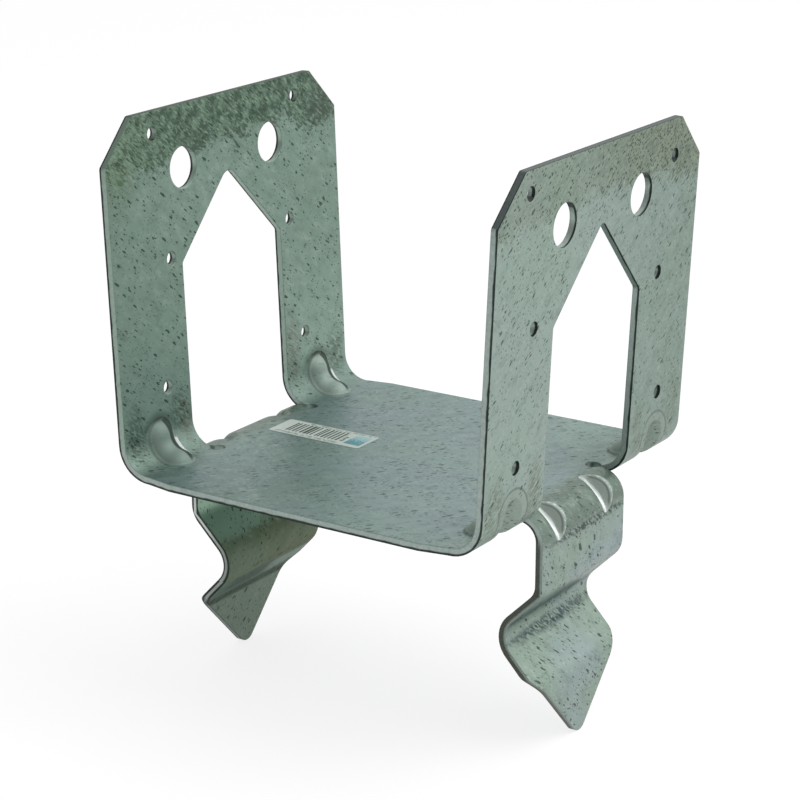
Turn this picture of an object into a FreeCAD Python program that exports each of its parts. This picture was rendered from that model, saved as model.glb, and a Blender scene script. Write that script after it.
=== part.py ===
import FreeCAD, Part
import math
import os
from FreeCAD import BoundBox, Matrix, Placement, Rotation, Vector

# Post base for a nominal 6x6 timber post: one folded galvanised sheet, in millimetres.
# The base plate rests on the concrete, and two walls fold up from it to take the post between them.
# The strip cut from each wall's window folds down as a kinked, pointed anchor leg.
# The origin is the centre of the plate's underside, X runs from wall to wall and Z is up.
# Half a turn about Z gives the same shape again, apart from the nail holes and the windows' apexes.

# Sheet and post
sheet = 2.6
post_width = 139.7

# Walls; heights run up the wall from the plate's top face
wall_width = 133.35
wall_height = 120.65
wall_lean_deg = 2.6
wall_bend_radius = 9.5
wall_corner_cut = 15.2
wall_corner_round = 1.5

# Base plate
plate_width = 137.2
plate_full_length = 100.0

# Window in each wall, with a gabled top
window_width = 58.0
window_eave = 65.7
window_apex = 95.1
window_eave_round = 2.0
window_apex_round_right = 2.5
window_apex_round_left = 5.0

# Relief slot between each leg's root and the wall beside it, ending in a round hole
relief_gap = 1.2
relief_run = 0.5
relief_hole = 5.6

# Holes for half-inch bolts, two in each wall
bolt_hole = 14.8
bolt_spacing = 50.8
bolt_height = 98.7

# Nail holes, staggered between the walls so that opposite nails miss each other
nail_hole = 4.9
nail_height_top = 113.1
nail_height_middle = 68.4
nail_height_bottom = 23.8
nail_spacing_left = 82.6
nail_spacing_left_middle = 70.0
nail_spacing_right = 96.0
nail_spacing_right_middle = 83.0
nail_drop_right_rear = 5.2

# Anchor legs; heights run down from the plate's underside
leg_bend_radius = 6.4
leg_kink_start = 24.8
leg_kink_depth = 17.3
leg_kink_upper = 17.3
leg_kink_lower = 18.5
leg_kink_radius = 8.0
leg_length = 85.5
leg_shoulder_round = 2.5
leg_tip_round = 4.5

# Darts across the walls' bends: round beads that follow the bend
wall_dart_radius = 6.4
wall_dart_height = 4.2
wall_dart_sweep_deg = 72.0
wall_dart_foot_bevel = 1.0
wall_dart_rim_bevel = 2.0

# Darts across the legs' bends: straight ridges, with the reach along each face from the sharp inner corner
leg_dart_reach = 9.5
leg_dart_flank_deg = 45.0
leg_dart_crest_radius = 4.6
leg_dart_foot_bevel = 0.0  # left sharp underneath
leg_dart_rim_bevel = 1.0
leg_dart_spacing = 32.0

# Worked out from the sizes above
lean = math.radians(wall_lean_deg)
wall_up = Vector(math.sin(lean), 0, math.cos(lean))
wall_foot = Vector(post_width / 2, 0, sheet)
leg_width = window_width - 2 * relief_gap
leg_taper = window_apex - window_eave
leg_middle_x = post_width / 2 + sheet / 2
relief_end_x = post_width / 2 - wall_bend_radius - relief_run
column_middle_y = (wall_width + window_width) / 4
cut_margin = 10.0


def unit(vector):
    """The vector scaled to length one."""
    return vector / vector.Length


def rounded_wire(points, radii):
    """A closed wire through the points, each corner rounded by its own radius."""
    corners = []
    for i, point in enumerate(points):
        back = unit(points[i - 1] - point)
        ahead = unit(points[(i + 1) % len(points)] - point)
        half_angle = back.getAngle(ahead) / 2
        if radii[i] == 0:
            corners.append((point, None, point))
            continue
        run = radii[i] / math.tan(half_angle)
        inward = unit(back + ahead)
        middle = point + inward * (radii[i] / math.sin(half_angle) - radii[i])
        corners.append((point + back * run, middle, point + ahead * run))
    edges = []
    for i, (start, middle, end) in enumerate(corners):
        if middle is not None:
            edges.append(Part.Arc(start, middle, end).toShape())
        next_start = corners[(i + 1) % len(corners)][0]
        edges.append(Part.LineSegment(end, next_start).toShape())
    return Part.Wire(edges)


def prism(points, radii, along):
    """A solid with a rounded outline, drawn out along a vector."""
    return Part.Face(rounded_wire(points, radii)).extrude(along)


def folded_strip(path, inside_radii, width):
    """A folded strip of sheet: a middle line in X and Z, drawn out across the width in Y."""
    left = []
    right = []
    for i, point in enumerate(path):
        before = unit(point - path[i - 1]) if i > 0 else unit(path[1] - point)
        after = unit(path[i + 1] - point) if i + 1 < len(path) else before
        normal = Vector(-before.z, 0, before.x)
        next_normal = Vector(-after.z, 0, after.x)
        mitre = (normal + next_normal) * (sheet / 2 / (1 + normal.dot(next_normal)))
        inside = inside_radii[i]
        outside = inside + sheet if inside > 0 else 0
        turns_left = normal.dot(after) > 0
        left.append((point + mitre, inside if turns_left else outside))
        right.append((point - mitre, outside if turns_left else inside))
    outline = left + right[::-1]
    points = [Vector(point.x, -width / 2, point.z) for point, radius in outline]
    radii = [radius for point, radius in outline]
    return prism(points, radii, Vector(0, width, 0))


def turned(shape):
    """The shape turned half a turn about Z."""
    return shape.rotated(Vector(0, 0, 0), Vector(0, 0, 1), 180)


def frame(origin, across, up):
    """A placement with local X along across and local Y along up."""
    out = across.cross(up)
    return Placement(Matrix(across.x, up.x, out.x, origin.x,
                            across.y, up.y, out.y, origin.y,
                            across.z, up.z, out.z, origin.z,
                            0, 0, 0, 1))


def on_right_wall(shape):
    """Moves a shape so that its X runs along Y, its Y up the right wall and its Z out through the sheet."""
    moved = shape.copy()
    moved.Placement = frame(wall_foot, Vector(0, 1, 0), wall_up).multiply(shape.Placement)
    return moved


def wall_corner():
    """The sharp corner of the right wall's middle line."""
    wall_out = Vector(math.cos(lean), 0, -math.sin(lean))
    on_wall = wall_foot + wall_out * (sheet / 2)
    return on_wall + wall_up * ((sheet / 2 - on_wall.z) / wall_up.z)


def wall_strip():
    """The plate and both walls as one folded strip, with nothing cut."""
    corner = wall_corner()
    wall_out = Vector(math.cos(lean), 0, -math.sin(lean))
    top = wall_foot + wall_up * wall_height + wall_out * (sheet / 2)
    path = [Vector(-top.x, 0, top.z), Vector(-corner.x, 0, corner.z), corner, top]
    return folded_strip(path, [0, wall_bend_radius, wall_bend_radius, 0], wall_width)


def wide_plate():
    """The base plate, a little wider than the walls and tapering to them beside the bends."""
    bend_start = post_width / 2 - wall_bend_radius
    full_end = plate_full_length / 2
    right = [Vector(full_end, -plate_width / 2, 0), Vector(bend_start, -wall_width / 2, 0),
             Vector(bend_start, wall_width / 2, 0), Vector(full_end, plate_width / 2, 0)]
    left = [Vector(-point.x, -point.y, 0) for point in right]
    outline = right + left
    return prism(outline, [0] * len(outline), Vector(0, 0, sheet))


def round_hole(diameter, across, height):
    """A pin that cuts one hole through the right wall."""
    pin = Part.makeCylinder(diameter / 2, sheet + 2, Vector(across, height, -1), Vector(0, 0, 1))
    return on_right_wall(pin)


def hole_pins(nail_spacing, nail_spacing_middle, rear_drop):
    """Pins for one wall's bolt and nail holes; the rear top nail may sit lower than its partner."""
    pins = []
    for side in (-1, 1):
        drop = rear_drop if side > 0 else 0
        pins.append(round_hole(bolt_hole, side * bolt_spacing / 2, bolt_height))
        pins.append(round_hole(nail_hole, side * nail_spacing / 2, nail_height_top - drop))
        pins.append(round_hole(nail_hole, side * nail_spacing_middle / 2, nail_height_middle))
        pins.append(round_hole(nail_hole, side * nail_spacing / 2, nail_height_bottom))
    return pins


def window_block(apex_round):
    """A block that cuts the right wall's gabled window, through the bend to the relief slots."""
    half = window_width / 2
    depth = wall_bend_radius + relief_run
    points = [Vector(-half, -2 * sheet, -depth), Vector(half, -2 * sheet, -depth),
              Vector(half, window_eave, -depth), Vector(0, window_apex, -depth),
              Vector(-half, window_eave, -depth)]
    radii = [0, 0, window_eave_round, apex_round, window_eave_round]
    return on_right_wall(prism(points, radii, Vector(0, 0, depth + sheet + cut_margin)))


def corner_blocks():
    """Blocks that cut the top corners off the right wall."""
    blocks = []
    half = wall_width / 2
    for side in (-1, 1):
        points = [Vector(side * (half - wall_corner_cut - cut_margin), wall_height + cut_margin, -1),
                  Vector(side * (half + cut_margin), wall_height - wall_corner_cut - cut_margin, -1),
                  Vector(side * (half + cut_margin), wall_height + cut_margin, -1)]
        blocks.append(on_right_wall(prism(points, [0, 0, 0], Vector(0, 0, sheet + 2))))
    return blocks


def relief_pins():
    """Pins that cut the round holes at the inner ends of the relief slots beside the right leg."""
    pins = []
    for side in (-1, 1):
        foot = Vector(relief_end_x, side * (window_width - relief_gap) / 2, -sheet)
        pins.append(Part.makeCylinder(relief_hole / 2, 3 * sheet, foot, Vector(0, 0, 1)))
    return pins


def right_leg():
    """The right anchor leg with the tab of plate at its root."""
    half = leg_width / 2
    kink_middle = -leg_kink_start - leg_kink_upper
    path = [Vector(relief_end_x - cut_margin, 0, sheet / 2), Vector(leg_middle_x, 0, sheet / 2),
            Vector(leg_middle_x, 0, -leg_kink_start), Vector(leg_middle_x - leg_kink_depth, 0, kink_middle),
            Vector(leg_middle_x, 0, kink_middle - leg_kink_lower),
            Vector(leg_middle_x, 0, -leg_length - cut_margin)]
    radii = [0, leg_bend_radius, leg_bend_radius, leg_kink_radius, leg_bend_radius, 0]
    strip = folded_strip(path, radii, leg_width)
    shoulder = -leg_length + leg_taper
    outline = [Vector(0, -half, cut_margin), Vector(0, -half, shoulder), Vector(0, 0, -leg_length),
               Vector(0, half, shoulder), Vector(0, half, cut_margin)]
    rounds = [0, leg_shoulder_round, leg_tip_round, leg_shoulder_round, 0]
    return strip.common(prism(outline, rounds, Vector(post_width, 0, 0)))


def bent_bead(place, path_radius, radius, sweep_deg):
    """A round bar with round ends, bent about local Z with its middle on local X."""
    start = Placement(Vector(0, 0, 0), Rotation(Vector(0, 0, 1), -sweep_deg / 2))
    bar = Part.makeTorus(path_radius, radius, Vector(0, 0, 0), Vector(0, 0, 1), -180, 180, sweep_deg)
    bar.Placement = place.multiply(start)
    ends = []
    for side in (-1, 1):
        angle = math.radians(side * sweep_deg / 2)
        centre = Vector(path_radius * math.cos(angle), path_radius * math.sin(angle), 0)
        onward = Vector(-math.sin(angle), math.cos(angle), 0) * side
        cap = Part.makeSphere(radius, centre, onward, 0, 90, 360)
        cap.Placement = place.multiply(cap.Placement)
        ends.append(cap)
    return bar.fuse(ends).removeSplitter()


def straight_ridge(place, crest_radius, height, length):
    """A ridge along local Z with its rounded crest at local height zero."""
    flank = math.radians(leg_dart_flank_deg)
    peak = crest_radius * (1 / math.cos(flank) - 1)
    spread = (height + peak) / math.tan(flank)
    points = [Vector(-spread, -height, -length), Vector(spread, -height, -length), Vector(0, peak, -length)]
    ridge = prism(points, [0, 0, crest_radius], Vector(0, 0, 2 * length))
    ridge.Placement = place
    return ridge


def bend_fill(corner, first, second, radius, run, width):
    """The inside of a bend as a solid, out from the middle of the sheet."""
    start = corner - Vector(0, width / 2, 0)
    points = [start, start + first * run, start + second * run]
    return prism(points, [radius, 0, 0], Vector(0, width, 0))


def edge_middle(edge):
    """The point halfway along an edge."""
    return edge.valueAt((edge.FirstParameter + edge.LastParameter) / 2)


def sharp_edges(body, region):
    """Edges inside the region whose two faces meet at a clear angle."""
    picked = []
    for edge in body.Edges:
        if not region.isInside(edge.BoundBox):
            continue
        middle = edge_middle(edge)
        normals = []
        for face in body.ancestorsOfType(edge, Part.Face):
            across, along = face.Surface.parameter(middle)
            normals.append(face.normalAt(across, along))
        if len(normals) == 2 and math.degrees(normals[0].getAngle(normals[1])) > 5:
            picked.append(edge)
    return picked


def dart_region(raised):
    """The box round one dart: the sheet's thickness more in X and Z, and nothing more along the bend."""
    box = raised.BoundBox
    return BoundBox(box.XMin - sheet, box.YMin, box.ZMin - sheet,
                    box.XMax + sheet, box.YMax, box.ZMax + sheet)


def pressed(body, fill, ridge, hollow, foot_bevel, rim_bevel):
    """Presses one dart: a ridge raised inside the bend and hollowed out behind, with its foot and rim bevelled."""
    raised = ridge.common(fill)
    region = dart_region(raised)
    body = body.fuse(raised)
    if foot_bevel > 0:
        body = body.makeChamfer(foot_bevel, sharp_edges(body, region))
    body = body.cut(hollow)
    rim = [edge for edge in sharp_edges(body, region) if not fill.isInside(edge_middle(edge), 0.01, True)]
    return body.makeChamfer(rim_bevel, rim)


def press_wall_darts(body):
    """The darts across the right wall's bend, one in the middle of each column beside the window."""
    inward = Vector(-1, 0, 0)
    corner = wall_corner()
    out = unit(inward + wall_up)
    middle_radius = wall_bend_radius + sheet / 2
    axis = corner + out * (middle_radius / math.sin(inward.getAngle(wall_up) / 2))
    fill = bend_fill(corner, inward, wall_up, middle_radius, wall_height / 2, wall_width)
    path_radius = wall_bend_radius + wall_dart_radius - wall_dart_height
    for side in (-1, 1):
        across = out * -1
        place = frame(axis + Vector(0, side * column_middle_y, 0), across, Vector(0, 1, 0).cross(across))
        ridge = bent_bead(place, path_radius, wall_dart_radius, wall_dart_sweep_deg)
        hollow = bent_bead(place, path_radius, wall_dart_radius - sheet, wall_dart_sweep_deg)
        body = pressed(body, fill, ridge, hollow, wall_dart_foot_bevel, wall_dart_rim_bevel)
    return body


def press_leg_darts(body):
    """The two darts across the right leg's bend."""
    inward = Vector(-1, 0, 0)
    down = Vector(0, 0, -1)
    corner = Vector(leg_middle_x, 0, sheet / 2)
    out = unit(inward + down)
    length = leg_dart_reach + 2 * sheet
    fill = bend_fill(corner, inward, down, leg_bend_radius + sheet / 2, 2 * length, wall_width)
    crest = corner + Vector(-1, 0, -1) * (sheet / 2) + out * (leg_dart_reach * out.dot(inward))
    for side in (-1, 1):
        place = frame(crest + Vector(0, side * leg_dart_spacing / 2, 0), Vector(0, 1, 0), out)
        behind = place.multiply(Placement(Vector(0, -sheet, 0), Rotation()))
        ridge = straight_ridge(place, leg_dart_crest_radius, length, length)
        hollow = straight_ridge(behind, leg_dart_crest_radius - sheet, length, length)
        body = pressed(body, fill, ridge, hollow, leg_dart_foot_bevel, leg_dart_rim_bevel)
    return body


def round_wall_corners(body):
    """Eases the corners that the right wall's corner cuts leave."""
    half = wall_width / 2
    places = []
    for side in (-1, 1):
        places.append(Vector(side * half, wall_height - wall_corner_cut, sheet / 2))
        places.append(Vector(side * (half - wall_corner_cut), wall_height, sheet / 2))
    to_wall = frame(wall_foot, Vector(0, 1, 0), wall_up)
    middles = [to_wall.multVec(place) for place in places]
    edges = [edge for edge in body.Edges
             if any(edge.CenterOfMass.distanceToPoint(middle) < 0.05 for middle in middles)]
    return body.makeFillet(wall_corner_round, edges)


def build_post_base():
    """The whole folded sheet as one solid."""
    body = wall_strip()
    for turn in range(2):
        body = turned(press_wall_darts(body))
    body = body.fuse(wide_plate())
    right_pins = hole_pins(nail_spacing_right, nail_spacing_right_middle, nail_drop_right_rear)
    left_pins = hole_pins(nail_spacing_left, nail_spacing_left_middle, 0)
    right_tools = right_pins + corner_blocks() + [window_block(window_apex_round_right)]
    left_tools = left_pins + corner_blocks() + [window_block(window_apex_round_left)]
    body = body.cut(right_tools)
    body = body.cut([turned(tool) for tool in left_tools])
    leg = press_leg_darts(right_leg())
    body = body.fuse([leg, turned(leg)])
    pins = relief_pins()
    body = body.cut(pins + [turned(pin) for pin in pins])
    for turn in range(2):
        body = turned(round_wall_corners(body))
    return body.removeSplitter()


os.makedirs("parts", exist_ok=True)
post_base = build_post_base()
post_base.exportStep("parts/post_base.step")
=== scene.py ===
import math
from types import SimpleNamespace

import bmesh
import bpy
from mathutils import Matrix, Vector


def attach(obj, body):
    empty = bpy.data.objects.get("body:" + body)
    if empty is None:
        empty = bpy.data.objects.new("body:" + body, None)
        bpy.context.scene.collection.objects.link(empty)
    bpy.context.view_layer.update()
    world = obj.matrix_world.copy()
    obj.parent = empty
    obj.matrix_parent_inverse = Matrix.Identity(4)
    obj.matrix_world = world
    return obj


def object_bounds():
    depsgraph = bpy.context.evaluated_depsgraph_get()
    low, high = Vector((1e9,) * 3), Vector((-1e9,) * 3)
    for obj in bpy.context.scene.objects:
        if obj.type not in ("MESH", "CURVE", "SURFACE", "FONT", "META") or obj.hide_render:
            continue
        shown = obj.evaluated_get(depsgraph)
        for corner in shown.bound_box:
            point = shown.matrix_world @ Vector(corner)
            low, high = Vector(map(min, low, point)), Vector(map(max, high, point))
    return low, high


# Looks for a folded galvanised post base: flaked zinc, sheared edges and the paper label on its plate.
# Shapes are in metres in the part's own frame; material coordinates are in millimetres.

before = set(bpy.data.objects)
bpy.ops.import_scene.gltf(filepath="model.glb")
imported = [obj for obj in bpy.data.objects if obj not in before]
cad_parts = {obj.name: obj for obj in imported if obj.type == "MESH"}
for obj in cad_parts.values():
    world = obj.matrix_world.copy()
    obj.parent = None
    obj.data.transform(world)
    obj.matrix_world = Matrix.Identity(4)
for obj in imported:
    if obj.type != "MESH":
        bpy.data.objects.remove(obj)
cad_low, cad_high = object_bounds()

# Sheet, in millimetres, with slopes as ratios and the darts' ends in radians
sheet = 2.6
post_half = 69.85
wall_lean = math.tan(math.radians(2.6))
wall_bend_axis = (60.77, 12.1)
wall_bend_inside = 9.5
dart_path = 11.7
dart_radius = 6.4
dart_middle = 47.84
dart_ends = (math.radians(-82.3), math.radians(-10.3))
leg_bend_axis = (63.45, -6.4)
leg_bend_outside = 9.0
leg_side = 28.4
leg_middle = post_half + sheet / 2
leg_dart_middle = 16.0
leg_dart_half = 8.0
kink_depth = 17.3
kink_middle = -42.1
kink_radius = 9.3
kink_round = 6.5
kink_slope_above = 1.0
kink_slope_below = 0.935

# Flakes: the angle in degrees at which they lie across the strip that the sheet was cut from
flake_turn = 38.7

# Height of the stained band's foot, and the arch round the outside of each wall dart, in millimetres
band_foot = 103.0
arch_reach = (8.9, 9.3)

# Shine of sound zinc, and the rounding of its edges in metres
zinc_metallic = 0.7
zinc_roughness = 0.38
edge_ease = 0.0006

# Stains, and painted shade in the right leg's crease, each with its centre, its reach along the axes, its
# colour and its strength
stain_and_shade_marks = (
    ((-68.0, -60.0, 14.0), (14.0, 8.0, 14.0), "2f4434", 0.6),
    ((-70.0, -33.0, 14.0), (9.0, 5.0, 13.0), "6d6b5b", 0.7),
    ((-70.0, -37.0, 17.0), (9.0, 5.0, 10.0), "3a5040", 0.6),
    ((-70.0, 33.0, 22.0), (9.0, 6.0, 17.0), "6d6b5b", 0.6),
    ((-70.0, 60.0, 14.0), (14.0, 7.0, 13.0), "3c5141", 0.6),
    ((-77.0, 60.0, 111.0), (8.0, 14.0, 14.0), "4f5a50", 0.7),
    ((-77.0, -60.0, 100.0), (8.0, 14.0, 10.0), "5f7350", 0.5),
    ((73.0, -60.0, 15.0), (8.0, 8.0, 15.0), "6f7a66", 0.7),
    ((73.0, -35.0, 14.0), (8.0, 6.0, 17.0), "6f7462", 0.7),
    ((73.0, 60.0, 20.0), (8.0, 6.0, 15.0), "6f7a66", 0.6),
    ((73.0, 35.0, 14.0), (8.0, 6.0, 17.0), "6f7462", 0.5),
    ((72.0, 4.0, -8.4), (8.0, 38.0, 2.1), "35453c", 0.95),
    # Painted shade rather than a stain: the dark band in the right leg's crease.
    ((58.0, 0.0, -45.5), (7.0, 40.0, 3.4), "3f5053", 0.9),
)

# Label on the plate, in millimetres
label_low = (-56.6, -2.7)
label_high = (-17.7, 11.7)
label_corner = 1.2
label_corner_steps = 6
label_paper = 0.12

# Print on the label: extents are shares of its length and of its width
bar_count = 25
bars_run = (0.13, 0.72)
bars_rise = (0.25, 0.85)
bars_gap = (0.43, 0.45)
field_run = (0.80, 0.965)
field_rise = (0.18, 0.82)

# Camera, in metres, with its lens and sensor in millimetres
camera_place = (0.4501, -0.6903, 0.2875)
camera_look = (-0.5238, 0.7956, -0.3043)
camera_lens = 112.2
camera_sensor = 36.0
camera_shift = (0.0087, -0.0039)

# Floor and lamp, in metres and watts, with the floor's greys and glow as shares of white
floor_half = 12.0
floor_lighting = 0.65
floor_seen = 0.28
floor_glow = 0.80
lamp_place = (1.1, 0.4, 1.6)
lamp_target = (0.0, 0.0, 0.03)
lamp_size = 1.8
lamp_power = 20.0

# Surroundings: strength in front, what is added behind, and what mirrored rays add there
sky_front = 0.35
sky_behind = 0.4
sky_mirrored = 0.25


def paint(code):
    """A colour written as six hex digits, as linear values."""
    channels = []
    for start in (0, 2, 4):
        value = int(code[start:start + 2], 16) / 255
        channels.append(value / 12.92 if value <= 0.04045 else ((value + 0.055) / 1.055) ** 2.4)
    return (*channels, 1.0)


def grey(value):
    return (value, value, value, 1.0)


class Nodes:
    """A node tree built one node at a time; each input is another node's output or a plain value."""

    def __init__(self, tree):
        self.tree = tree
        self.tree.nodes.clear()

    def add(self, kind, inputs=(), **settings):
        node = self.tree.nodes.new(kind)
        for key, value in settings.items():
            setattr(node, key, value)
        for key, value in dict(inputs).items():
            if isinstance(value, bpy.types.NodeSocket):
                self.tree.links.new(value, node.inputs[key])
            else:
                node.inputs[key].default_value = value
        return node

    def math(self, operation, first, second=0.0):
        return self.add("ShaderNodeMath", {0: first, 1: second}, operation=operation).outputs[0]

    def fold(self, operation, values):
        """Joins the values from left to right."""
        result = values[0]
        for value in values[1:]:
            result = self.math(operation, result, value)
        return result

    def plus(self, *values):
        return self.fold("ADD", values)

    def minus(self, first, second):
        return self.math("SUBTRACT", first, second)

    def times(self, *values):
        return self.fold("MULTIPLY", values)

    def most(self, *values):
        return self.fold("MAXIMUM", values)

    def least(self, first, second):
        return self.math("MINIMUM", first, second)

    def size(self, value):
        return self.math("ABSOLUTE", value)

    def other(self, mask):
        """One where the mask is zero."""
        return self.minus(1.0, mask)

    def rise(self, value, start, end):
        """Goes smoothly from zero at start to one at end."""
        inputs = {"Value": value, "From Min": start, "From Max": end}
        return self.add("ShaderNodeMapRange", inputs, interpolation_type="SMOOTHSTEP").outputs[0]

    def between(self, value, low, high, soft):
        """One between low and high, fading over soft at each end."""
        return self.times(self.rise(value, low - soft, low), self.rise(value, high + soft, high))

    def choose(self, share, first, second):
        """The first value where share is zero, the second where it is one."""
        return self.plus(self.times(first, self.other(share)), self.times(second, share))

    def mix(self, share, first, second):
        """The first colour where share is zero, the second where it is one; hex digits are allowed."""
        first = paint(first) if isinstance(first, str) else first
        second = paint(second) if isinstance(second, str) else second
        inputs = {0: share, 6: first, 7: second}
        return self.add("ShaderNodeMix", inputs, data_type="RGBA").outputs[2]

    def vector(self, operation, first, second):
        key = "Scale" if operation == "SCALE" else 1
        return self.add("ShaderNodeVectorMath", {0: first, key: second}, operation=operation).outputs

    def point(self, x, y, z=0.0):
        return self.add("ShaderNodeCombineXYZ", {0: x, 1: y, 2: z}).outputs[0]

    def parts(self, vector):
        return self.add("ShaderNodeSeparateXYZ", {0: vector}).outputs

    def reach(self, first, second):
        """The length of the vector with these two parts."""
        return self.math("SQRT", self.plus(self.times(first, first), self.times(second, second)))

    def noise(self, vector, pitch, detail=2.0, roughness=0.5):
        """Cloudy values around one half, with features about pitch millimetres across."""
        inputs = {"Vector": vector, "Scale": 1 / pitch, "Detail": detail, "Roughness": roughness}
        return self.add("ShaderNodeTexNoise", inputs, noise_dimensions="3D").outputs[0]

    def cells(self, vector, pitch):
        """Cells about pitch millimetres across: how far off the middle lies, and a random colour each."""
        inputs = {"Vector": vector, "Scale": 1 / pitch}
        node = self.add("ShaderNodeTexVoronoi", inputs, voronoi_dimensions="2D")
        colour = self.add("ShaderNodeSeparateColor", {0: node.outputs["Color"]}).outputs
        return self.times(node.outputs["Distance"], pitch), colour

    def place(self):
        """The surface point in millimetres, as a vector and as its three parts."""
        spot = self.add("ShaderNodeTexCoord").outputs["Object"]
        spot = self.vector("SCALE", spot, 1000.0)[0]
        return spot, self.parts(spot)

    def ragged(self, spot, pitch, reach):
        """The point shifted by noise, so that what is drawn there gets an uneven outline."""
        inputs = {"Vector": spot, "Scale": 1 / pitch, "Detail": 2.0}
        colour = self.add("ShaderNodeTexNoise", inputs, noise_dimensions="3D").outputs[1]
        shift = self.vector("SUBTRACT", colour, (0.5, 0.5, 0.5))[0]
        shift = self.vector("SCALE", shift, reach)[0]
        return self.vector("ADD", spot, shift)[0]


def new_material(name):
    material = bpy.data.materials.new(name)
    material.use_nodes = True
    return material, Nodes(material.node_tree)


def finish_surface(n, inputs):
    """Joins a principled surface with these inputs to the material's output."""
    surface = n.add("ShaderNodeBsdfPrincipled", inputs)
    n.add("ShaderNodeOutputMaterial", {"Surface": surface.outputs[0]})


def survey(n):
    """The surface point, its parts and its normal, and soft masks for walls, plate, legs and sides."""
    s = SimpleNamespace()
    s.spot, (s.x, s.y, s.z) = n.place()
    s.far_x = n.size(s.x)
    s.far_y = n.size(s.y)
    s.normal = n.add("ShaderNodeNewGeometry").outputs["True Normal"]
    s.left = n.rise(s.x, -45.0, -62.0)
    s.right = n.rise(s.x, 45.0, 62.0)
    s.wall = n.rise(s.z, 6.0, 14.0)
    s.leg = n.rise(s.z, -2.0, -9.0)
    s.plate = n.times(n.other(n.plus(s.wall, s.leg)), n.rise(s.far_x, 66.0, 57.0))
    s.dart = dart_distance(n, s)
    return s


def dart_distance(n, s):
    """How far a point lies from the bent middle line of the nearest wall dart."""
    axis_x, axis_z = wall_bend_axis
    angle = n.math("ARCTAN2", n.minus(s.z, axis_z), n.minus(s.far_x, axis_x))
    angle = n.least(n.most(angle, dart_ends[0]), dart_ends[1])
    middle_x = n.plus(n.times(n.math("COSINE", angle), dart_path), axis_x)
    middle_z = n.plus(n.times(n.math("SINE", angle), dart_path), axis_z)
    flat = n.reach(n.minus(s.far_x, middle_x), n.minus(s.z, middle_z))
    return n.reach(flat, n.minus(s.far_y, dart_middle))


def strip_point(n, s, stretch):
    """The point on the unrolled strip, turned so that its first part runs along the flakes.

    That part is divided by stretch, so that what is drawn there comes out longer.
    """
    height = n.most(n.minus(n.size(s.z), sheet), 0.0)
    across = n.choose(n.rise(s.z, -14.0, -16.0), s.far_x, leg_middle)
    along = n.times(n.math("SIGN", s.x), n.plus(height, across))
    turn = math.radians(flake_turn)
    first = n.plus(n.times(s.y, math.cos(turn) / stretch), n.times(along, math.sin(turn) / stretch))
    second = n.minus(n.times(along, math.cos(turn)), n.times(s.y, math.sin(turn)))
    return n.point(first, second)


def axis_reach(n, s, axis):
    """How far a point lies from a bend's axis, given as its distance across and its height."""
    return n.reach(n.minus(s.far_x, axis[0]), n.minus(s.z, axis[1]))


def facing_out(n, s, axis):
    """Above zero where the surface faces away from a bend's axis, below zero where it faces the axis."""
    normal_x, _, normal_z = n.parts(s.normal)
    outward = n.times(normal_x, n.math("SIGN", s.x), n.minus(s.far_x, axis[0]))
    return n.plus(outward, n.times(normal_z, n.minus(s.z, axis[1])))


def patch(n, s, centre, reach):
    """A soft patch that fades to nothing at its reach along each axis."""
    offset = n.vector("SUBTRACT", s.spot, centre)[0]
    offset = n.vector("DIVIDE", offset, reach)[0]
    return n.rise(n.vector("LENGTH", offset, (0.0, 0.0, 0.0))[1], 1.0, 0.35)


def grains(n, spot, pitch, reach, share):
    """Grains of many sizes, at most one to a cell; share may vary over the surface."""
    distance, colour = n.cells(spot, pitch)
    edge = n.times(n.plus(n.times(colour[1], 0.7), 0.3), reach)
    inside = n.rise(distance, edge, n.times(edge, 0.6))
    return n.times(inside, n.rise(n.minus(share, colour[0]), 0.0, 0.04))


def zinc_colour(n, s, strip):
    """Sound zinc: greener on the left wall, bluer on the plate, with soft clouds and pale flecks."""
    cloud = n.rise(n.noise(s.spot, 38.0, 2.0), 0.36, 0.64)
    colour = n.mix(cloud, "93a89c", "96a8a1")
    colour = n.mix(n.rise(s.y, -35.0, 60.0), colour, n.mix(cloud, "84988d", "899c94"))
    left_zinc = n.mix(cloud, "7a9284", "7e9689")
    left_zinc = n.mix(n.rise(s.z, 70.0, 10.0), left_zinc, "8aa296")
    left_zinc = n.mix(n.rise(s.z, 14.0, 5.0), left_zinc, "80968c")
    colour = n.mix(n.times(s.left, 0.9), colour, left_zinc)
    colour = n.mix(s.plate, colour, plate_colour(n, s, cloud))
    leg_zinc = n.mix(s.left, right_leg_colour(n, s, cloud), left_leg_colour(n, s))
    colour = n.mix(s.leg, colour, leg_zinc)
    root = n.times(n.rise(s.far_x, 56.0, 64.0), n.rise(s.far_y, leg_side + 0.6, leg_side))
    root = n.times(root, n.between(s.z, -6.0, 2.8, 3.0))
    colour = n.mix(n.times(root, 0.85), colour, "6d7e73")
    blotch = n.noise(strip, 4.0, 4.0, 0.65)
    strength = n.minus(0.4, n.times(s.left, s.leg, 0.25))
    colour = n.mix(n.times(n.rise(blotch, 0.5, 0.72), strength), colour, "a3b2a7")
    colour = n.mix(n.times(n.rise(blotch, 0.5, 0.28), strength), colour, "586b60")
    fleck = grains(n, n.ragged(strip, 0.8, 0.7), 1.4, 0.5, 0.45)
    return n.mix(n.times(fleck, n.minus(0.3, n.times(s.left, 0.2))), colour, "b4c2b6")


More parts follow.
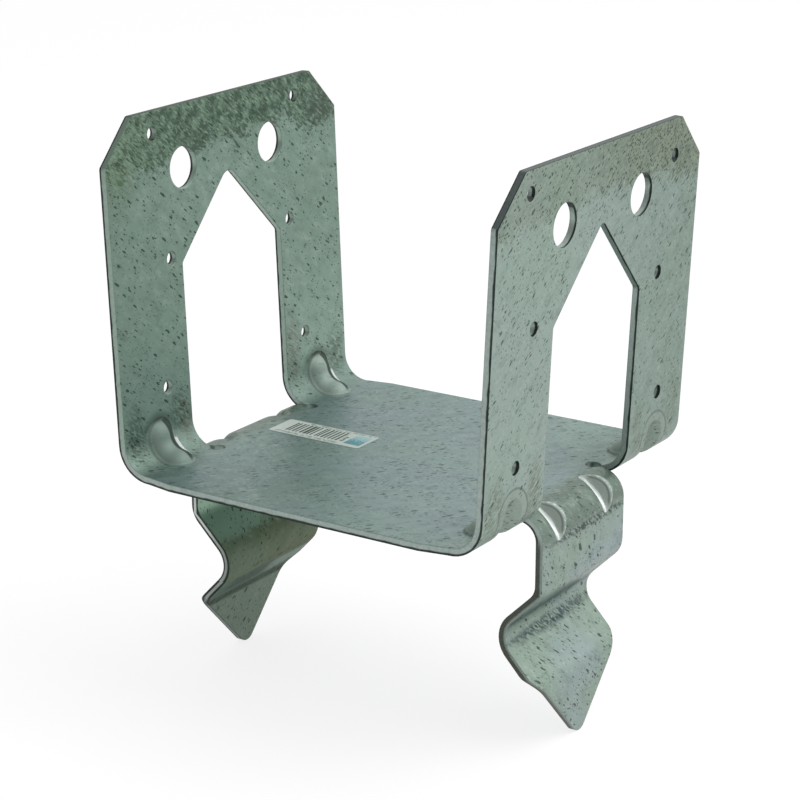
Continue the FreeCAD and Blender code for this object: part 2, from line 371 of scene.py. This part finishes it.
def plate_colour(n, s, cloud):
    """The plate: darker to the left and front, and again beside the right bend's rear, which is painted
    shade from the wall.
    """
    colour = n.mix(n.rise(s.x, -50.0, 55.0), "7d938e", "8ea59f")
    # Painted shade: darker beside the rear of the right bend, where the wall shades the plate.
    rear_right = n.times(n.rise(s.x, 35.0, 60.0), n.rise(s.y, 0.0, 30.0))
    colour = n.mix(rear_right, colour, "7c908a")
    front_left = n.times(n.rise(s.x, 10.0, -30.0), n.rise(s.y, -15.0, -50.0))
    colour = n.mix(n.times(front_left, 0.6), colour, "6c827c")
    return n.mix(n.times(cloud, 0.5), colour, "83959b")


def right_leg_colour(n, s, cloud):
    """The right leg: pale, with painted shade on the downward-facing slope above the kink."""
    colour = n.mix(cloud, "8fa295", "94a4a4")
    # Painted shade: the outer face is darkened where it faces downward above the kink.
    sloping = n.rise(n.parts(s.normal)[2], -0.3, -0.6)
    slope = n.mix(n.rise(s.z, -26.0, -40.0), "8a9a92", "56686a")
    return n.mix(sloping, colour, slope)


def left_leg_colour(n, s):
    """The left leg: green, olive inside to the rear, with a painted highlight streak, a band of painted
    shade and dark lines under the kink.
    """
    colour = n.mix(n.rise(s.y, -16.0, 6.0), "778b6b", "717d58")
    ragged_z = n.plus(s.z, n.times(n.minus(n.noise(s.spot, 5.0, 4.0, 0.65), 0.5), 12.0))
    colour = n.mix(n.rise(ragged_z, -36.0, -32.0), colour, "96b59e")
    colour = n.mix(n.rise(s.z, -49.5, -51.5), colour, "667f6f")
    # Painted shade: a dark band under the kink.
    dark = n.times(n.between(s.z, -56.0, -50.5, 1.0), n.between(s.y, -16.0, 2.0, 6.0))
    colour = n.mix(n.times(dark, 0.85), colour, "4e665b")
    # Painted highlight: a pale streak under the kink, to the rear.
    streak = n.times(n.between(s.z, -57.0, -52.0, 1.2), n.rise(s.y, 0.0, 12.0))
    colour = n.mix(streak, colour, "a0b1a5")
    colour = n.mix(n.times(n.between(s.z, -61.3, -59.3, 0.7), 0.8), colour, "4d5a4c")
    colour = n.mix(n.rise(s.z, -61.5, -62.5), colour, "6a7a6c")
    inner = n.rise(n.parts(s.normal)[0], -0.1, 0.1)
    return n.mix(inner, "859d8b", colour)


def band_mask(n, s, strip):
    """The stained band along the walls' tops, with a ragged foot that rises between the bolt holes."""
    foot = n.plus(n.times(n.between(s.y, -10.0, 40.0, 12.0), 4.0), band_foot)
    wave = n.times(n.minus(n.noise(s.spot, 10.0, 2.0), 0.5), 14.0)
    tooth = n.times(n.minus(n.noise(strip, 1.8, 4.0, 0.7), 0.5), 24.0)
    return n.rise(n.minus(s.z, n.plus(foot, wave, tooth)), -2.0, 2.0)


def left_stain(n, s, streak, clump, dark):
    """The left wall's stain: green clumps crossed by pale and dark strokes and dashes."""
    pale = n.rise(n.plus(streak, n.times(n.minus(clump, 0.5), 0.3)), 0.53, 0.66)
    dash_spot = n.ragged(strip_point(n, s, 4.0), 0.6, 0.6)
    dark_dash = grains(n, dash_spot, 1.15, 0.48, n.minus(1.15, n.times(clump, 1.1)))
    pale_dash = grains(n, n.vector("ADD", dash_spot, (31.0, 17.0, 0.0))[0], 1.2, 0.42, 0.45)
    stain = n.mix(n.rise(clump, 0.36, 0.64), "48604f", "6a8370")
    stain = n.mix(n.times(n.rise(s.y, -25.0, -60.0), 0.75), stain, "7f987f")
    stain = n.mix(n.times(pale, 0.7), stain, "8ea68f")
    stain = n.mix(n.times(dark, 0.75), stain, "364d3b")
    stain = n.mix(n.times(pale_dash, 0.55), stain, "9ab29a")
    return n.mix(n.times(dark_dash, 0.85), stain, "263b2b")


def right_wear(n, s, colour, band, clump, dark):
    """The right wall's top: rubbed and speckled, more so to the rear."""
    rear = n.plus(n.times(n.rise(s.y, -30.0, 45.0), 0.4), 0.4)
    rubbed = n.times(band, s.right, rear)
    worn = n.mix(n.times(dark, 0.8), "869179", "4f5a4c")
    colour = n.mix(n.times(rubbed, 0.85), colour, worn)
    speck_spot = n.ragged(strip_point(n, s, 1.8), 0.4, 0.4)
    thick = n.plus(n.times(n.rise(clump, 0.4, 0.6), 0.9), 0.25)
    speck = grains(n, speck_spot, 1.0, 0.44, n.times(rubbed, thick))
    return n.mix(n.times(speck, 0.9), colour, "343f34")


def stained(n, s, colour, strip):
    """The band along the walls' tops, smaller stains beside the bends and on the legs, and painted shade in
    the right leg's crease.
    """
    streak = n.noise(n.ragged(strip_point(n, s, 3.0), 2.2, 1.8), 1.05, 4.0, 0.7)
    clump = n.noise(s.spot, 5.0, 3.0, 0.6)
    dark = n.rise(n.plus(streak, n.times(n.minus(clump, 0.5), 0.5)), 0.53, 0.38)
    band = band_mask(n, s, strip)
    colour = n.mix(n.times(band, s.left, 0.9), colour, left_stain(n, s, streak, clump, dark))
    colour = right_wear(n, s, colour, band, clump, dark)
    for centre, reach, tint, strength in stain_and_shade_marks:
        share = n.times(patch(n, s, centre, reach), n.rise(streak, 0.60, 0.44))
        colour = n.mix(n.times(share, strength), colour, tint)
    return colour, band


def darts_marked(n, s, colour):
    """The wall darts: smooth matt beads with painted shade along their rear flanks, a painted highlight on
    the bend behind them, and a painted dark line round an arch outside.
    """
    inside = n.rise(facing_out(n, s, wall_bend_axis), 1.0, -1.0)
    offset = n.minus(s.y, n.times(n.math("SIGN", s.y), dart_middle))
    halo = n.times(inside, n.rise(s.dart, dart_radius + 4.5, dart_radius + 1.0), n.rise(s.z, 11.0, 16.0))
    colour = n.mix(n.times(halo, 0.6), colour, "3d5243")
    bead = n.times(inside, n.rise(s.dart, dart_radius + 0.6, dart_radius + 0.2))
    left_bead = n.mix(n.rise(s.y, -20.0, 20.0), "8a9f94", "a2b5ab")
    colour = n.mix(n.times(bead, 0.9), colour, n.mix(s.left, "9db0a6", left_bead))
    ring = n.times(inside, n.between(s.dart, dart_radius + 0.3, dart_radius + 0.6, 0.3))
    colour = n.mix(n.times(ring, 0.35), colour, "3f5247")
    # Painted shade: a dark band on each bead's rear flank and a dark line along its rear foot and top.
    flank = n.times(bead, n.between(offset, 1.2, 2.2, 1.0))
    line = n.times(inside, n.between(s.dart, dart_radius - 0.2, dart_radius + 0.9, 0.35))
    line = n.times(line, n.most(n.rise(offset, 1.0, 2.6), n.rise(s.z, 15.0, 17.5)))
    contour_shade = n.times(n.most(flank, line), n.rise(s.z, 3.0, 5.0))
    colour = n.mix(n.times(contour_shade, 0.9), colour, "26362d")
    # Painted highlight: a pale strip on the bend just behind each bead.
    painted_highlight = n.times(inside, n.between(s.dart, dart_radius + 1.3, dart_radius + 2.3, 0.5))
    painted_highlight = n.times(painted_highlight, n.rise(offset, 2.6, 4.0), n.between(s.z, 3.8, 7.6, 1.2))
    colour = n.mix(n.times(painted_highlight, 0.9), colour, "eef4f1")
    outside = n.other(inside)
    colour = n.mix(n.times(outside, n.rise(s.dart, 9.4, 8.0), 0.35), colour, "8f998b")
    # Painted shade: a dark line round the rim of the hollow outside each dart.
    arch = n.times(outside, n.between(s.dart, *arch_reach, 0.4))
    colour = n.mix(n.times(arch, 0.6), colour, "55635c")
    matt = n.most(n.times(inside, n.rise(s.dart, dart_radius + 1.4, dart_radius + 0.8)), painted_highlight)
    return colour, bead, matt, contour_shade


def leg_darts_marked(n, s, colour):
    """The hollows outside the right leg's darts: painted light inside, painted shade on the far side, and
    painted highlights along their bottoms and far rims.
    """
    outward = facing_out(n, s, leg_bend_axis)
    depth = n.minus(leg_bend_outside, axis_reach(n, s, leg_bend_axis))
    hollow = n.times(n.rise(outward, 0.3, 1.0), n.rise(depth, 0.08, 0.16))
    leg_dart_ends = leg_dart_middle - leg_dart_half, leg_dart_middle + leg_dart_half
    hollow = n.times(hollow, n.between(s.far_y, *leg_dart_ends, 0.5))
    hollow = n.times(hollow, n.between(s.z, -12.0, 2.3, 0.5), n.rise(s.far_x, 59.5, 60.5))
    offset = n.minus(s.y, n.times(n.math("SIGN", s.y), leg_dart_middle))
    hollow = n.times(hollow, s.right, n.rise(offset, -3.0, -0.6))
    highlight_noise = n.noise(s.spot, 1.1, 3.0, 0.6)
    # Painted light: the hollow is painted pale, palest towards its bottom and near side, greyer to the far
    # side.
    hollow_colour = n.mix(n.rise(n.plus(offset, n.times(highlight_noise, 4.0)), 1.5, 4.5), "c6d0cb", "98a59d")
    colour = n.mix(n.times(hollow, 0.85), colour, hollow_colour)
    # Painted shade on the hollow's far side.
    far_side = n.times(hollow, n.rise(offset, 1.6, 2.4))
    colour = n.mix(n.times(far_side, n.between(depth, 0.6, 0.9, 0.2), 0.75), colour, "5a6761")
    # Painted highlights: broken pale lines along the far rim and the bottom of each hollow.
    rim = n.times(far_side, n.between(depth, 0.16, 0.34, 0.08), n.rise(highlight_noise, 0.46, 0.60))
    bottom = n.times(n.rise(offset, -0.9, -0.5), n.rise(n.minus(offset, n.times(depth, 0.5)), 0.4, -0.1))
    bottom = n.times(bottom, n.plus(n.times(n.rise(s.z, 2.0, -5.0), 0.7), 0.3))
    painted_highlight = n.most(n.times(rim, 0.45), n.times(hollow, bottom))
    return n.mix(n.times(painted_highlight, 0.92), colour, "f0f5f3"), n.times(hollow, 0.8)


def flaked(n, s, colour, band, bead):
    """Dark flakes that lie along the strip: some large, many small, thickest under the band."""
    strip = strip_point(n, s, 2.6)
    crowd = n.rise(n.noise(s.spot, 12.0, 3.0), 0.36, 0.64)
    crowd = n.plus(n.times(crowd, 0.6), n.times(n.rise(s.z, 72.0, 104.0), 0.12))
    few = n.other(n.times(s.right, s.wall, 0.5))
    large = grains(n, n.ragged(strip, 0.8, 1.1), 2.7, 0.62, n.times(n.plus(crowd, 0.14), few))
    middle = grains(n, n.ragged(strip, 0.6, 0.7), 1.5, 0.36, n.plus(crowd, 0.06))
    small = grains(n, n.ragged(strip_point(n, s, 2.0), 0.4, 0.4), 0.95, 0.28, n.plus(crowd, 0.15))
    bold = n.plus(n.times(n.most(s.left, s.leg), 0.1), 0.78)
    flake = n.most(n.times(large, bold), n.times(middle, 0.85), n.times(small, 0.5))
    flake = n.times(flake, n.other(n.times(band, s.left, 0.6)))
    flake = n.times(flake, n.other(n.times(bead, 0.7)))
    tint = n.mix(s.left, "3c4b43", "2c4433")
    tint = n.mix(s.plate, tint, "4c5f58")
    return n.mix(flake, colour, tint), flake


def kink_offset(n, s):
    """A leg's step inward at a point's height, and how much a move across counts through its sheet."""
    from_kink = n.size(n.minus(s.z, kink_middle))
    above = n.rise(s.z, kink_middle - 0.1, kink_middle + 0.1)
    slope = n.choose(above, kink_slope_below, kink_slope_above)
    straight = n.most(n.minus(kink_depth, n.times(from_kink, slope)), 0.0)
    arc = n.math("SQRT", n.most(n.minus(kink_radius ** 2, n.times(from_kink, from_kink)), 0.0))
    arc = n.plus(arc, kink_depth - kink_radius * math.sqrt(2))
    offset = n.choose(n.rise(from_kink, kink_round - 0.1, kink_round + 0.1), arc, straight)
    slant = n.choose(n.between(from_kink, 6.0, 15.0, 3.5), 1.0, 0.72)
    return offset, slant


def edge_depth(n, s):
    """How far through the sheet a point lies from the plate's top face, followed round both bends."""
    wall = n.minus(n.minus(s.far_x, post_half), n.times(n.minus(s.z, sheet), wall_lean))
    wall_bend = n.minus(axis_reach(n, s, wall_bend_axis), wall_bend_inside)
    wall = n.choose(n.rise(s.z, wall_bend_axis[1], wall_bend_axis[1] - 0.2), wall, wall_bend)
    offset, slant = kink_offset(n, s)
    leg = n.plus(n.times(n.minus(leg_middle, n.plus(s.far_x, offset)), slant), sheet / 2)
    leg_bend = n.minus(leg_bend_outside, axis_reach(n, s, leg_bend_axis))
    leg = n.choose(n.rise(s.z, leg_bend_axis[1] - 0.2, leg_bend_axis[1]), leg, leg_bend)
    beside_leg = n.most(n.rise(s.far_y, leg_side - 0.1, leg_side + 0.1), n.rise(s.z, 3.0, 4.0))
    bent = n.choose(beside_leg, leg, wall)
    plate_end = n.choose(beside_leg, leg_bend_axis[0], wall_bend_axis[0])
    beyond = n.rise(n.minus(s.far_x, plate_end), -0.1, 0.1)
    below = n.rise(s.z, -0.3, -0.5)
    return n.choose(n.most(beyond, below), n.minus(sheet, s.z), bent)


def edge_mask(n, s):
    """One on the sheet's cut edges: outlines, windows and holes."""
    normal_x, normal_y, normal_z = [n.size(part) for part in n.parts(s.normal)]
    on_wall = n.times(n.rise(s.z, 19.0, 20.0), n.rise(normal_x, 0.6, 0.5))
    on_leg = n.times(n.rise(s.z, -14.0, -15.0), n.rise(normal_y, 0.28, 0.36))
    outline = n.most(n.rise(s.far_y, 31.0, 30.0), n.rise(s.far_y, 64.0, 65.0))
    low = n.times(n.rise(s.far_x, 62.5, 62.0), n.rise(normal_z, 0.4, 0.3))
    low = n.times(low, n.rise(s.z, -1.0, -0.3))
    low = n.times(n.most(low, n.rise(normal_y, 0.86, 0.92)), outline)
    return n.most(on_wall, on_leg, low)


def edged(n, s, colour):
    """Sheared edges: pale where the tool burnished them, dark where the sheet broke."""
    cut = edge_mask(n, s)
    depth = edge_depth(n, s)
    normal_z = n.size(n.parts(s.normal)[2])
    left_wall = n.times(s.left, s.wall)
    wander = n.times(n.minus(n.noise(s.spot, 4.0, 3.0), 0.5), 0.9)
    nail = n.times(n.between(s.far_y, 33.0, 54.0, 0.5), s.right, s.wall)
    burnish = n.minus(1.75, n.times(nail, 0.4))
    broken = n.rise(n.minus(n.plus(depth, wander), burnish), -0.15, 0.3)
    scratch = n.noise(s.spot, 1.0, 3.0, 0.6)
    pale = n.mix(scratch, "8a9b95", "bccac4")
    pale = n.mix(left_wall, pale, n.mix(scratch, "869d91", "aec1b6"))
    torn = n.mix(scratch, "1a231f", "3a4540")
    edge = n.mix(broken, pale, torn)
    top = n.times(n.rise(s.z, 100.0, 101.0), n.rise(normal_z, 0.5, 0.65))
    rim = n.rise(n.plus(n.size(n.minus(depth, sheet / 2)), n.times(wander, 0.4)), 0.8, 1.1)
    rim = n.choose(left_wall, rim, n.rise(n.plus(depth, n.times(wander, 0.4)), 1.8, 2.2))
    dull = n.mix(scratch, "4c5655", "6f7a78")
    left_dull = n.mix(n.rise(normal_z, 0.9, 0.7), "3c4d43", "7b8f82")
    dull = n.mix(s.left, dull, left_dull)
    edge = n.mix(top, edge, n.mix(rim, dull, torn))
    brown = n.mix(scratch, "353b35", "5c6058")
    right_leg = n.mix(n.rise(depth, 0.5, 1.3), n.mix(scratch, "74827b", "98a59e"), brown)
    bright = n.mix(n.rise(s.z, -56.0, -62.0), n.mix(scratch, "b5c0ba", "dde6e0"), "6f7c75")
    left_leg = n.mix(n.between(depth, 1.0, 1.7, 0.35), torn, bright)
    edge = n.mix(s.leg, edge, n.mix(s.left, right_leg, left_leg))
    return n.mix(cut, colour, edge)


def galvanised_steel():
    """Spangled zinc with slanting dark flakes, a stained band along the walls' tops and sheared edges."""
    material, n = new_material("galvanised_steel")
    s = survey(n)
    strip = strip_point(n, s, 1.8)
    colour = zinc_colour(n, s, strip)
    colour, band = stained(n, s, colour, strip)
    colour, bead, matt, contour_shade = darts_marked(n, s, colour)
    colour, flake = flaked(n, s, colour, band, bead)
    colour, leg_matt = leg_darts_marked(n, s, colour)
    colour = edged(n, s, colour)
    fine = n.noise(s.spot, 0.6, 3.0, 0.6)
    left_slope = n.times(s.left, n.rise(s.z, -30.0, -36.0), n.rise(s.z, -63.0, -61.5))
    # The painted shade on the beads' rear flanks is made matt too.
    dull = n.most(contour_shade, n.times(left_slope, 0.8))
    metallic = n.minus(zinc_metallic, n.times(n.most(matt, leg_matt), 0.5))
    metallic = n.times(metallic, n.other(dull))
    roughness = n.plus(n.times(flake, 0.15), n.times(band, 0.08), n.times(fine, 0.14))
    roughness = n.plus(roughness, n.times(matt, 0.1), n.times(dull, 0.4), zinc_roughness)
    height = n.plus(n.times(fine, 0.35), n.times(flake, -0.5))
    eased = n.add("ShaderNodeBevel", {"Radius": edge_ease}, samples=6).outputs[0]
    bump_inputs = {"Strength": 0.25, "Distance": 0.00008, "Height": height, "Normal": eased}
    bump = n.add("ShaderNodeBump", bump_inputs).outputs[0]
    finish_surface(n, {"Base Color": colour, "Metallic": metallic, "Roughness": roughness, "Normal": bump})
    return material


def label_print():
    """White paper with generic bars, rows of dots and a mottled blue field."""
    material, n = new_material("label_paper")
    spot, (x, y, _) = n.place()
    length = label_high[0] - label_low[0]
    width = label_high[1] - label_low[1]
    run = n.times(n.minus(x, label_low[0]), 1 / length)
    rise = n.times(n.minus(y, label_low[1]), 1 / width)
    fibre = n.noise(spot, 0.8, 3.0)
    colour = n.mix(fibre, "b9c6bf", "d4ded6")
    bar_width = n.noise(n.point(n.times(run, length), 0.0), 1.6, 1.0)
    bar_width = n.plus(n.times(n.minus(bar_width, 0.5), 1.6), 0.52)
    bars = n.times(n.between(run, *bars_run, 0.004), n.between(rise, *bars_rise, 0.02))
    along_bar = n.math("FRACT", n.times(run, bar_count))
    bars = n.times(bars, n.rise(n.minus(along_bar, bar_width), 0.06, -0.06))
    bars = n.times(bars, n.other(n.between(run, *bars_gap, 0.004)))
    colour = n.mix(n.times(bars, 0.95), colour, "26322e")
    dot = n.cells(spot, 0.6)[1]
    front_row = n.times(n.between(rise, 0.06, 0.16, 0.02), n.between(run, 0.06, 0.74, 0.01))
    rear_row = n.times(n.between(rise, 0.90, 0.96, 0.02), n.between(run, 0.24, 0.97, 0.01))
    rows = n.times(n.most(front_row, rear_row), n.rise(dot[0], 0.4, 0.5))
    colour = n.mix(n.times(rows, 0.55), colour, "46534e")
    field = n.times(n.between(run, *field_run, 0.006), n.between(rise, *field_rise, 0.02))
    mottle = n.times(n.minus(n.noise(spot, 0.9, 2.0), 0.5), 0.9)
    blue = n.mix(n.rise(n.plus(rise, mottle), 0.70, 0.35), "9cc6c9", "2f8a96")
    colour = n.mix(n.times(field, 0.92), colour, blue)
    dashes = n.times(n.between(run, 0.735, 0.765, 0.005), n.between(rise, 0.25, 0.6, 0.02))
    colour = n.mix(n.times(dashes, n.rise(dot[1], 0.3, 0.5)), colour, "6b7873")
    bump = n.add("ShaderNodeBump", {"Strength": 0.2, "Distance": 0.00005, "Height": fibre}).outputs[0]
    roughness = n.plus(n.times(fibre, 0.2), 0.4)
    finish_surface(n, {"Base Color": colour, "Roughness": roughness, "Normal": bump})
    return material


def add_label():
    """The paper label: a thin sheet with rounded corners, stuck on the plate."""
    outline = []
    corners = [(label_high[0], label_high[1], 0), (label_low[0], label_high[1], 90),
               (label_low[0], label_low[1], 180), (label_high[0], label_low[1], 270)]
    middle = [(label_low[i] + label_high[i]) / 2 for i in (0, 1)]
    for corner_x, corner_y, start in corners:
        centre_x = corner_x - math.copysign(label_corner, corner_x - middle[0])
        centre_y = corner_y - math.copysign(label_corner, corner_y - middle[1])
        for step in range(label_corner_steps + 1):
            angle = math.radians(start + step * 90 / label_corner_steps)
            across = label_corner * math.cos(angle)
            along = label_corner * math.sin(angle)
            outline.append((centre_x + across, centre_y + along))
    mesh = bpy.data.meshes.new("label")
    shape = bmesh.new()
    foot = [shape.verts.new((px / 1000, py / 1000, sheet / 1000)) for px, py in outline]
    face = shape.faces.new(foot)
    grown = bmesh.ops.extrude_face_region(shape, geom=[face])
    for item in grown["geom"]:
        if isinstance(item, bmesh.types.BMVert):
            item.co.z += label_paper / 1000
    bmesh.ops.recalc_face_normals(shape, faces=shape.faces)
    shape.to_mesh(mesh)
    shape.free()
    label = bpy.data.objects.new("label", mesh)
    bpy.context.collection.objects.link(label)
    mesh.materials.append(label_print())
    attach(label, "root")


def seen_directly(n):
    """One for rays from the camera and for mirrored or transmitted ones."""
    path = n.add("ShaderNodeLightPath").outputs
    return n.most(path["Is Camera Ray"], path["Is Glossy Ray"], path["Is Transmission Ray"])


def add_floor():
    """A plain white floor under the legs' tips that keeps the part's shadow."""
    material, n = new_material("floor")
    direct = seen_directly(n)
    paper = n.mix(direct, grey(floor_lighting), grey(floor_seen))
    diffuse = n.add("ShaderNodeBsdfDiffuse", {"Color": paper}).outputs[0]
    glow = n.add("ShaderNodeEmission", {"Strength": n.times(direct, floor_glow)}).outputs[0]
    both = n.add("ShaderNodeAddShader", {0: diffuse, 1: glow}).outputs[0]
    n.add("ShaderNodeOutputMaterial", {"Surface": both})
    mesh = bpy.data.meshes.new("floor")
    corners = [(-floor_half, -floor_half, 0), (floor_half, -floor_half, 0),
               (floor_half, floor_half, 0), (-floor_half, floor_half, 0)]
    mesh.from_pydata(corners, [], [(0, 1, 2, 3)])
    mesh.materials.append(material)
    floor = bpy.data.objects.new("floor", mesh)
    floor.location.z = cad_low.z
    bpy.context.collection.objects.link(floor)


def add_world():
    """White surroundings, brighter behind the part than in front of it."""
    world = bpy.data.worlds.new("world")
    bpy.context.scene.world = world
    world.use_nodes = True
    n = Nodes(world.node_tree)
    path = n.add("ShaderNodeLightPath").outputs
    direction = n.parts(n.add("ShaderNodeTexCoord").outputs["Generated"])
    behind = n.rise(direction[1], -0.7, 0.6)
    soft = n.plus(n.times(behind, sky_behind), sky_front)
    mirrored = n.most(path["Is Glossy Ray"], path["Is Transmission Ray"])
    strength = n.plus(soft, n.times(mirrored, behind, sky_mirrored))
    strength = n.choose(path["Is Camera Ray"], strength, 1.0)
    sky = n.add("ShaderNodeBackground", {"Color": grey(1.0), "Strength": strength}).outputs[0]
    n.add("ShaderNodeOutputWorld", {"Surface": sky})


def add_lamp(name, place, target, size, power):
    lamp = bpy.data.lights.new(name, "AREA")
    lamp.size = size
    lamp.energy = power
    item = bpy.data.objects.new(name, lamp)
    item.location = place
    item.rotation_euler = (Vector(target) - Vector(place)).to_track_quat("-Z", "Y").to_euler()
    bpy.context.collection.objects.link(item)


def add_camera():
    data = bpy.data.cameras.new("camera")
    data.lens = camera_lens
    data.sensor_width = camera_sensor
    data.shift_x, data.shift_y = camera_shift
    camera = bpy.data.objects.new("camera", data)
    camera.location = camera_place
    camera.rotation_euler = Vector(camera_look).to_track_quat("-Z", "Y").to_euler()
    bpy.context.collection.objects.link(camera)
    bpy.context.scene.camera = camera


def dress_frame():
    """Gives the folded sheet its steel."""
    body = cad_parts["post_base"]
    body.data.materials.clear()
    body.data.materials.append(galvanised_steel())


add_camera()
add_world()
add_floor()
add_lamp("key", lamp_place, lamp_target, lamp_size, lamp_power)
dress_frame()
add_label()
bpy.context.scene.view_settings.view_transform = "Standard"
